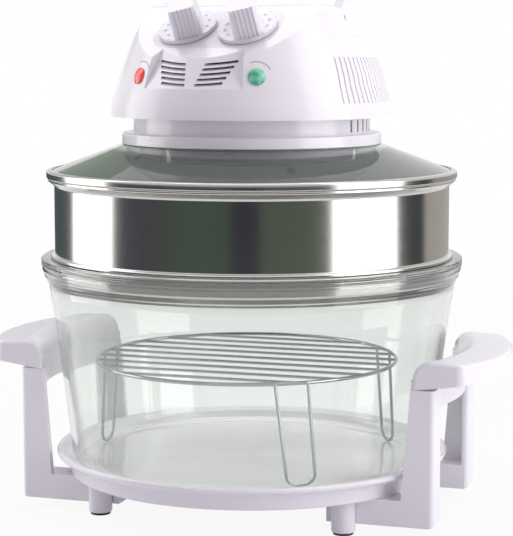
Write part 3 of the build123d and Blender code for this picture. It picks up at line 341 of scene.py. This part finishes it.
def oneCorner(name, at):
    # a plane drawn together to a corner, left in edit mode to be drawn out
    piece = plane(name)
    bpy.ops.mesh.merge(type="CENTER")
    bpy.ops.transform.translate(value=at)
    return piece


def drawOut(by):
    bpy.ops.mesh.extrude_region_move(TRANSFORM_OT_translate={"value": by})


def spinAll(steps, degrees, copies=False):
    bpy.ops.mesh.select_all(action="SELECT")
    bpy.ops.mesh.spin(steps=steps, angle=math.radians(degrees), dupli=copies,
                      center=(0, 0, 0), axis=(0, 0, 1))


def mergeAll():
    bpy.ops.mesh.select_all(action="SELECT")
    bpy.ops.mesh.remove_doubles(threshold=spinning["mergeWithin"] * mm)


def spun(name, line):
    # one corner drawn out along the closed outline, then spun round the middle
    at = [Vector((p[0] * mm, 0.0, p[1] * mm)) for p in line]
    piece = oneCorner(name, at[0])
    for here, there in zip(at, at[1:] + at[:1]):
        drawOut(there - here)
    mergeAll()
    spinAll(spinning["steps"], 360.0)
    mergeAll()
    bpy.ops.mesh.normals_make_consistent(inside=False)
    bpy.ops.object.mode_set(mode="OBJECT")
    return piece


# glass bowl: pressed, with a ridged lip and fine rings under its floor

bowl = {
    "foot": 34.15, "lipFoot": 182.3, "top": 203.3, "wall": 4.7,
    "footR": 145.4, "bellyR": 154.2, "neckR": 163.9, "lipR": 170.0, "mouthR": 159.5,
    "footRound": 14.0, "footOver": 0.3, "cornerOut": 2.0, "cornerUp": 2.0,
    "innerRound": 9.3, "innerOver": 0.4, "innerUp": 1.0,
    "flareOut": 3.9, "flareUp": 7.6, "flareEnd": 5.0,       # a point half way, and its end below the top
    "waves": 3, "waveDepth": 0.45,                          # pressed lines round the flare
    "ridges": 3, "ridgeDepth": 0.45, "ridgeFrom": 5.4, "ridgeTo": 0.8,      # below the top
    "crest": (0.1, 0.55), "groove": 0.78,                   # shares of a ridge's height
    "brimIn": 0.3, "brimDown": 0.4, "brimFlat": 3.0, "mouthRound": 0.8, "mouthUp": 2.0,
    "ringFromR": 3.0, "ringToR": 134.0, "ringPitch": 2.0, "ringDepth": 0.42, "ringGroove": (0.3, 0.7),
    "ringShare": 0.15, "ringPower": 4,                      # shallow in the middle, deep towards the edge
    "cornerSteps": 8, "wallSteps": 16, "flareSteps": 31, "brimSteps": 3,
}
foot, lipFoot, top = bowl["foot"], bowl["lipFoot"], bowl["top"]
footR, lipR, mouthR = bowl["footR"], bowl["lipR"], bowl["mouthR"]
cornerR, cornerTop = footR + bowl["cornerOut"], foot + bowl["footRound"] + bowl["cornerUp"]
middle = (foot + lipFoot) / 2

line = [(0, foot)]
r = bowl["ringFromR"]
while r < bowl["ringToR"] - bowl["ringPitch"]:
    share = bowl["ringShare"] + (1 - bowl["ringShare"]) * (r / bowl["ringToR"]) ** bowl["ringPower"]
    line += [(r, foot)] + [(r + bowl["ringPitch"] * edge, foot + bowl["ringDepth"] * share)
                           for edge in bowl["ringGroove"]]
    r += bowl["ringPitch"]
corner = rounded([(bowl["ringToR"], foot), (footR + bowl["footOver"], foot, bowl["footRound"]),
                  (cornerR, cornerTop)], bowl["cornerSteps"])
line += corner
line += bowed(corner[-1], (bowl["bellyR"], middle), (bowl["neckR"], lipFoot), bowl["wallSteps"])
line += [(bowl["neckR"], lipFoot)]
flare = bowed((bowl["neckR"], lipFoot), (bowl["neckR"] + bowl["flareOut"], lipFoot + bowl["flareUp"]),
              (lipR, top - bowl["flareEnd"]), bowl["flareSteps"])
for k, point in enumerate(flare):
    wave = math.sin(2 * math.pi * bowl["waves"] * (k + 1) / (len(flare) + 1))
    line.append(point - Vector((bowl["waveDepth"] * (1 - wave) / 2, 0)))
ridgeFoot, ridgeTop = top - bowl["ridgeFrom"], top - bowl["ridgeTo"]
rise = (ridgeTop - ridgeFoot) / bowl["ridges"]
for k in range(bowl["ridges"]):
    z = ridgeFoot + k * rise
    line += [(lipR, z + edge * rise) for edge in bowl["crest"]]
    line += [(lipR - bowl["ridgeDepth"], z + bowl["groove"] * rise)]
line += rounded([
    (lipR, ridgeTop), (lipR - bowl["brimIn"], top - bowl["brimDown"]), (lipR - bowl["brimFlat"], top),
    (mouthR, top, bowl["mouthRound"]), (mouthR, lipFoot + bowl["mouthUp"])], bowl["brimSteps"])
inside = (cornerR - bowl["wall"], cornerTop + bowl["innerUp"])
line += bowed((mouthR, lipFoot + bowl["mouthUp"]), (bowl["bellyR"] - bowl["wall"], middle), inside,
              bowl["wallSteps"])
line += rounded([
    inside, (footR + bowl["innerOver"] - bowl["wall"], foot + bowl["wall"], bowl["innerRound"]),
    (0, foot + bowl["wall"])], bowl["cornerSteps"])
settle(spun("bowlOfGlass", line), "glass_bowl")

# steel ring that raises the lid

ring = {
    "r": 159.0, "sheet": 1.2, "foot": 190.3, "seat": 203.3, "top": 267.0,
    "beadR": 162.6, "bead": 3.0, "beadRounds": (0.9, 1.2, 0.6),
    "flangeR": 164.0, "flange": 6.0, "flangeLip": 2.0, "flangeRounds": (3.0, 1.0, 0.8),
    "mouthIn": 0.4, "mouthDown": 1.5,
}
inner, beadTop = ring["r"] - ring["sheet"], ring["seat"] + ring["bead"]
line = rounded([
    (inner, ring["foot"]), (ring["r"], ring["foot"]), (ring["r"], ring["seat"]),
    (ring["beadR"], ring["seat"], ring["beadRounds"][0]), (ring["beadR"], beadTop, ring["beadRounds"][1]),
    (ring["r"], beadTop, ring["beadRounds"][2]),
    (ring["r"], ring["top"] - ring["flange"], ring["flangeRounds"][0]),
    (ring["flangeR"], ring["top"] - ring["flangeLip"], ring["flangeRounds"][1]),
    (ring["flangeR"], ring["top"], ring["flangeRounds"][2]),
    (inner - ring["mouthIn"], ring["top"]), (inner, ring["top"] - ring["mouthDown"])])
settle(spun("ringOfSteel", line), "extender_ring")

# lid: a glass cone, its rolled band and the dish under it

lid = {
    "edge": 270.7, "top": 294.0, "sheet": 4.5, "flatR": 104.0, "holeR": 88.0, "gap": 0.1,
    "topRound": 12.0, "underRound": 8.0, "underIn": 1.0,
    "seat": 267.0, "skirt": 4.5, "bandR": 165.2, "bandSheet": 1.2, "bandTop": 273.0,
    "bandLip": 4.6, "bandRounds": (1.2, 1.6), "lipThick": 0.9, "bandClear": 0.5,
}
slope = (lid["top"] - lid["edge"]) / (lid["bandR"] - lid["flatR"])
glassR = lid["bandR"] - lid["bandSheet"] - lid["gap"]
glassFoot = lid["seat"] + lid["bandSheet"] + lid["gap"]
through = lid["sheet"] * math.hypot(1, slope)
groundR = lid["bandR"] - (glassFoot + through - lid["edge"]) / slope
line = rounded([
    (lid["holeR"], lid["top"] - lid["sheet"]),
    (lid["flatR"] - lid["underIn"], lid["top"] - lid["sheet"], lid["underRound"]),
    (groundR, glassFoot), (glassR, glassFoot), (glassR, lid["edge"] + (lid["bandR"] - glassR) * slope),
    (lid["flatR"], lid["top"], lid["topRound"]), (lid["holeR"], lid["top"])])
settle(spun("lidOfGlass", line), "lid_glass")

bandLipR = lid["bandR"] - lid["bandLip"]
onGlass = lid["edge"] + lid["bandLip"] * slope + lid["gap"]
bandInner = ring["r"] - ring["sheet"] - lid["bandClear"]
line = rounded([
    (bandInner - lid["bandSheet"], lid["seat"] - lid["skirt"]), (bandInner, lid["seat"] - lid["skirt"]),
    (bandInner, lid["seat"]), (lid["bandR"], lid["seat"], lid["bandRounds"][0]),
    (lid["bandR"], lid["bandTop"], lid["bandRounds"][1]),
    (bandLipR, onGlass + lid["lipThick"]), (bandLipR, onGlass),
    (lid["bandR"] - lid["bandSheet"], lid["edge"] + lid["bandSheet"] * slope + lid["gap"]),
    (lid["bandR"] - lid["bandSheet"], lid["seat"] + lid["bandSheet"]),
    (bandInner - lid["bandSheet"], lid["seat"] + lid["bandSheet"])])
settle(spun("bandOnLid", line), "lid_rim_band")

pan = {
    "low": 272.5, "lidUnder": 289.5, "top": 296.0, "sheet": 1.0,
    "flangeR": 103.0, "r": 95.0, "neckR": 86.0, "holeR": 8.0,
    "bulge": 1.5, "bulgeUp": 8.0, "bulgeRounds": (5.0, 4.0), "shoulder": 5.0, "shoulderIn": 0.5,
}
sheet, bulgeR, shoulderR = pan["sheet"], pan["r"] + pan["bulge"], pan["r"] - pan["shoulder"]
line = rounded([
    (pan["flangeR"], pan["low"]), (pan["flangeR"], pan["low"] + sheet), (pan["r"], pan["low"] + sheet),
    (bulgeR, pan["low"] + pan["bulgeUp"], pan["bulgeRounds"][0]),
    (shoulderR, pan["lidUnder"]), (pan["neckR"], pan["lidUnder"]),
    (pan["neckR"], pan["top"]), (pan["holeR"], pan["top"]), (pan["holeR"], pan["top"] - sheet),
    (pan["neckR"] - sheet, pan["top"] - sheet), (pan["neckR"] - sheet, pan["lidUnder"] - sheet),
    (shoulderR - pan["shoulderIn"], pan["lidUnder"] - sheet),
    (bulgeR - sheet, pan["low"] + pan["bulgeUp"], pan["bulgeRounds"][1]), (pan["r"] - sheet, pan["low"])])
settle(spun("dishOverHeater", line), "reflector_pan")
print("bowl, ring and lid spun")

# head: two plain spun forms lend their even shading to the shell's stepped sides

head = {
    # insets from the lower edge, and heights above it
    "flank": [(0.0, -3.0), (0.0, 0.0), (0.8, 12.0), (5.6, 26.0), (7.3, 33.0), (10.5, 42.0), (13.0, 48.0),
              (15.4, 54.0), (19.0, 59.5), (30.0, 64.0)],
    "console": [(7.3, 33.0), (10.5, 42.0), (13.0, 48.0), (16.0, 56.0), (20.5, 66.0), (26.0, 76.0),
                (27.5, 80.0), (34.0, 87.0)],
    "from": {"flank": 0.0, "console": 48.0},        # height from which each lends its shading
    "near": 0.45,       # how far a facet's middle may lie from the plain form
    "lean": 0.95,       # cosine of how far it may lean from it
    "wall": 2.0,
    "sharpFrom": 60.0,
}
headLow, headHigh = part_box("head_shell")
headR, headFoot = (headHigh.x - headLow.x) / 2 / mm, headLow.z / mm


def onForm(face, line):
    out = Vector(face.center[:2])
    r, z = out.length / mm, face.center.z / mm
    facing = Vector((Vector(face.normal[:2]).dot(out.normalized()), face.normal.z))
    for low, high in zip(line, line[1:]):
        if low[1] <= z <= high[1]:
            there = low[0] + (high[0] - low[0]) * (z - low[1]) / (high[1] - low[1])
            outwards = Vector((high[1] - low[1], low[0] - high[0])).normalized()
            return abs(r - there) < head["near"] and facing.dot(outwards) > head["lean"]
    return False


shell = bpy.data.objects.new("shellOfHead", nodes["head_shell"].data.copy())
bpy.context.collection.objects.link(shell)
for part, fromHeight in head["from"].items():
    line = [(headR - inset, headFoot + height) for inset, height in head[part]]
    form = spun("plain_" + part, line + [(r - head["wall"], z) for r, z in reversed(line)])
    bpy.ops.object.shade_smooth_by_angle(angle=math.radians(head["sharpFrom"]))
    group = shell.vertex_groups.new(name=part)
    near = [face for face in shell.data.polygons
            if face.center.z > (headFoot + fromHeight) * mm and onForm(face, line)]
    group.add(sorted({v for face in near for v in face.vertices}), 1.0, "REPLACE")
    selectOnly(shell)
    bpy.ops.object.modifier_add(type="DATA_TRANSFER")
    lend = shell.modifiers[-1]
    lend.object = form
    lend.vertex_group = part
    lend.use_loop_data = True
    lend.data_types_loops = {"CUSTOM_NORMAL"}
    lend.loop_mapping = "POLYINTERP_NEAREST"
    bpy.ops.object.modifier_apply(modifier=lend.name)
    bpy.data.objects.remove(form, do_unlink=True)
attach(shell, nodeBody["head_shell"])
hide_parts("head_shell")
print("head smoothed")

# marks: ticks and numbers on both dials, an index on the panel and a fine arc over each lamp

marks = {
    "turn": -8.5,                                   # of the whole head
    "panelAt": (-58.0, 68.5), "panelTilt": 32.0,    # front to back and up from the head's lower edge
    "dialX": 26.0, "dialTop": 3.5, "dialTurn": 26.5, "inkThick": 0.06,
    "tickFrom": 21.4, "tickTo": 23.0, "tickWide": 0.45,
    "indexFrom": 1.2, "indexTo": 3.4, "indexWide": 0.8,     # beyond the ticks
    "numberR": 17.4, "numberTall": 3.4,
    "lampAngle": 28.5, "lampInset": 7.3, "lampUp": 32.5, "lampTilt": 17.0,
    "arcR": 12.0, "arcWide": 0.7, "arcFrom": 30.0, "arcTo": 112.0, "arcSteps": 20,
}
dials = {
    # side of the panel, how far and how many ticks go round, and where each number stands
    "timer": {"side": -1, "lamp": "red", "sweep": 300.0, "ticks": 12,
              "numbers": {"10": 60, "20": 90, "30": 120, "40": 240, "50": 270, "60": 300}},
    "thermostat": {"side": 1, "lamp": "green", "sweep": 270.0, "ticks": 9,
                   "numbers": {"65": 60, "100": 90, "150": 120, "175": 240, "200": 270, "250": 300}},
}


def turned(angle, axis):
    return Matrix.Rotation(math.radians(angle), 4, axis)


def movedBy(x, y, z):
    return Matrix.Translation((x * mm, y * mm, z * mm))


def inked(piece, place, node):
    # turned and moved as a whole, applied so that its place is in its mesh, then given its ink
    piece.matrix_world = place
    selectOnly(piece)
    bpy.ops.object.transform_apply(location=True, rotation=True, scale=True)
    piece.data.materials.clear()
    piece.data.materials.append(finish["ink"])
    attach(piece, nodeBody[node])


def tickAt(name, near, far, width, height):
    # a thin bar, left in edit mode so that it can be spun into a row
    piece = plane(name)
    bpy.ops.transform.resize(value=(width * mm, (far - near) * mm, 1.0))
    bpy.ops.transform.translate(value=(0, (near + far) / 2 * mm, height * mm))
    drawOut((0, 0, marks["inkThick"] * mm))
    bpy.ops.mesh.select_all(action="SELECT")
    bpy.ops.mesh.normals_make_consistent(inside=False)
    return piece


panelPlace = (turned(marks["turn"], "Z") @ movedBy(0, marks["panelAt"][0], headFoot + marks["panelAt"][1])
              @ turned(marks["panelTilt"], "X"))
for name, dial in dials.items():
    knob = name + "_knob"
    onPanel = panelPlace @ movedBy(dial["side"] * marks["dialX"], 0, 0)
    onDial = onPanel @ turned(marks["dialTurn"], "Z")
    ticks = tickAt("ticks_" + name, marks["tickFrom"], marks["tickTo"], marks["tickWide"], marks["dialTop"])
    spinAll(dial["ticks"], dial["sweep"], copies=True)
    bpy.ops.object.mode_set(mode="OBJECT")
    inked(ticks, onDial, knob)
    for word, angle in dial["numbers"].items():
        bpy.ops.object.select_all(action="DESELECT")
        bpy.ops.object.text_add()
        number = bpy.context.object
        number.name = "number_" + word + "_" + name
        number.data.body = word
        number.data.size = marks["numberTall"] * mm
        number.data.align_x = "CENTER"
        number.data.align_y = "CENTER"
        number.data.extrude = marks["inkThick"] / 2 * mm
        bpy.ops.object.convert(target="MESH")
        spot = turned(-angle, "Z") @ movedBy(0, marks["numberR"], marks["dialTop"] + marks["inkThick"] / 2)
        inked(number, onDial @ spot, knob)
    index = tickAt("index_" + name, marks["tickTo"] + marks["indexFrom"], marks["tickTo"] + marks["indexTo"],
                   marks["indexWide"], 0.0)
    bpy.ops.object.mode_set(mode="OBJECT")
    inked(index, onPanel, "control_panel")

    last = math.radians(marks["arcTo"])
    outwards = Vector((math.cos(last), math.sin(last), 0)) * mm
    arc = oneCorner("arc_by_" + dial["lamp"] + "_lamp", outwards * (marks["arcR"] - marks["arcWide"] / 2))
    drawOut(outwards * marks["arcWide"])
    spinAll(marks["arcSteps"], marks["arcTo"] - marks["arcFrom"])
    bpy.ops.object.mode_set(mode="OBJECT")
    lampPlace = (turned(marks["turn"] + dial["side"] * marks["lampAngle"], "Z")
                 @ movedBy(0, marks["lampInset"] - headR, headFoot + marks["lampUp"]))
    inked(arc, lampPlace @ turned(90 - marks["lampTilt"], "X"), "head_shell")
    bpy.ops.object.modifier_add(type="SHRINKWRAP")
    wrap = arc.modifiers[-1]
    wrap.target = shell
    wrap.offset = marks["inkThick"] * mm
    bpy.ops.object.modifier_apply(modifier=wrap.name)
print("marks printed")

# floor, backdrop, lamps and camera

studio = {
    "floorColour": "#E0E0E4", "floorRoughness": 0.9, "floorSize": 12.0,
    "floorGlow": 0.92,                  # share of plain white near the oven, the rest keeps the shadow
    "fadeFrom": 0.45, "fadeTo": 1.6,    # metres from the middle between which it grows to one
    "ambient": 0.43, "fill": "#FFF6FF",
    "cardRadius": 1.15, "cardSteps": 16,
}
camera = {
    "azimuth": 18.0, "distance": 1.46609, "height": 0.3715, "pitch": 6.98, "aimRight": 0.149,
    "focal": 121.86, "sensor": 36.0,
}
white = (1, 1, 1, 1)


def seenRays(tree):
    # one for what the camera sees, straight, mirrored or through glass, and nought for what lights the piece
    path = addNode(tree, "ShaderNodeLightPath")
    either = addNode(tree, "ShaderNodeMath", {"operation": "MAXIMUM"},
                     {0: path.outputs["Is Camera Ray"], 1: path.outputs["Is Glossy Ray"]})
    return addNode(tree, "ShaderNodeMath", {"operation": "MAXIMUM"},
                   {0: either.outputs[0], 1: path.outputs["Is Transmission Ray"]}).outputs[0]


bpy.ops.object.select_all(action="DESELECT")
bpy.ops.mesh.primitive_plane_add(size=studio["floorSize"])
floor = bpy.context.object
floor.name = "floor"
material, tree, surface, place = newMaterial("paperFloor")
surface.inputs["Base Color"].default_value = linearColour(studio["floorColour"])
surface.inputs["Roughness"].default_value = studio["floorRoughness"]
glow = addNode(tree, "ShaderNodeEmission", {"Color": white, "Strength": 1.0})
away = addNode(tree, "ShaderNodeVectorMath", {"operation": "LENGTH"}, {0: place})
fade = addNode(tree, "ShaderNodeMapRange",
               {"From Min": studio["fadeFrom"], "From Max": studio["fadeTo"],
                "To Min": studio["floorGlow"], "To Max": 1.0}, {"Value": away.outputs["Value"]})
share = addNode(tree, "ShaderNodeMath", {"operation": "MULTIPLY"},
                {0: seenRays(tree), 1: fade.outputs["Result"]})
both = addNode(tree, "ShaderNodeMixShader", {},
               {0: share.outputs[0], 1: surface.outputs[0], 2: glow.outputs[0]})
tree.links.new(both.outputs[0], tree.nodes["Material Output"].inputs["Surface"])
floor.data.materials.append(material)
floor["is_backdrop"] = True

world = bpy.data.worlds.new("studio")
bpy.context.scene.world = world
world.use_nodes = True
tree = world.node_tree
seen = seenRays(tree)
strength = addNode(tree, "ShaderNodeMapRange", {"To Min": studio["ambient"], "To Max": 1.0}, {"Value": seen})
fill = addNode(tree, "ShaderNodeMix",
               {"data_type": "RGBA", 6: linearColour(studio["fill"]), 7: white}, {0: seen})
backdrop = tree.nodes["Background"]
tree.links.new(fill.outputs[2], backdrop.inputs["Color"])
tree.links.new(strength.outputs["Result"], backdrop.inputs["Strength"])


def aroundCamera(angle, radius, height):
    # place on a circle, the angle counted from the camera's side towards its right
    a = math.radians(camera["azimuth"] + angle)
    return Vector((radius * math.sin(a), -radius * math.cos(a), height))


cards = [
    # from, to, foot, top, colour seen in the steel, the last one only in the lid
    (-172, -117, 0.0, 0.26, "#4E575B"),
    (-80, -58, 0.0, 0.26, "#4C4C56"),
    (-58, -44, 0.0, 0.26, "#4D5152"),
    (-44, -11, 0.0, 0.26, "#4D5B50"),
    (-11, 4, 0.0, 0.26, "#3B3A43"),
    (4, 43, 0.0, 0.26, "#5A6458"),
    (84, 110, 0.0, 0.26, "#3C4343"),
    (110, 172, 0.0, 0.26, "#BDB7B3"),
    (-182, -140, 0.48, 1.0, "#B6C3B6"),
]
for number, (start, end, low, high, colour) in enumerate(cards):
    card = oneCorner("card" + str(number), aroundCamera(start, studio["cardRadius"], low))
    drawOut((0, 0, high - low))
    spinAll(studio["cardSteps"], start - end)
    bpy.ops.object.mode_set(mode="OBJECT")
    material, tree = newMaterial("feltCard" + str(number))[:2]
    felt = addNode(tree, "ShaderNodeEmission", {"Color": linearColour(colour), "Strength": 1.0})
    tree.links.new(felt.outputs[0], tree.nodes["Material Output"].inputs["Surface"])
    card.data.materials.append(material)
    for kind in ("camera", "diffuse", "transmission", "shadow", "volume_scatter"):
        setattr(card, "visible_" + kind, False)
    card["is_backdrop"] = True

lamps = [
    # name, angle, radius, height, height aimed at, width, tall, watts
    ("leftBox", -98.7, 1.05, 0.75, 0.75, 0.67, 1.5, 7.0),
    ("rightBox", 63.7, 1.05, 0.75, 0.75, 0.77, 1.5, 10.0),
    ("topBox", 180, 0.35, 1.5, 0.25, 1.2, 1.2, 9.0),
]
for name, angle, radius, height, aimedAt, width, tall, watts in lamps:
    data = bpy.data.lights.new(name, "AREA")
    data.shape = "RECTANGLE"
    data.size, data.size_y, data.energy = width, tall, watts
    lamp = bpy.data.objects.new(name, data)
    bpy.context.collection.objects.link(lamp)
    lamp.location = aroundCamera(angle, radius, height)
    aim = Vector((0, 0, aimedAt)) - lamp.location
    lamp.rotation_euler = aim.to_track_quat("-Z", "Y").to_euler()

optics = bpy.data.cameras.new("optics")
optics.sensor_width = camera["sensor"]
optics.lens = camera["focal"]
eye = bpy.data.objects.new("eye", optics)
bpy.context.collection.objects.link(eye)
eye.location = aroundCamera(0, camera["distance"], camera["height"])
eye.rotation_euler = (math.radians(90 - camera["pitch"]), 0,
                      math.radians(camera["azimuth"] - camera["aimRight"]))
bpy.context.scene.camera = eye
bpy.context.scene.view_settings.view_transform = "Standard"
print("studio ready")

low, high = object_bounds()
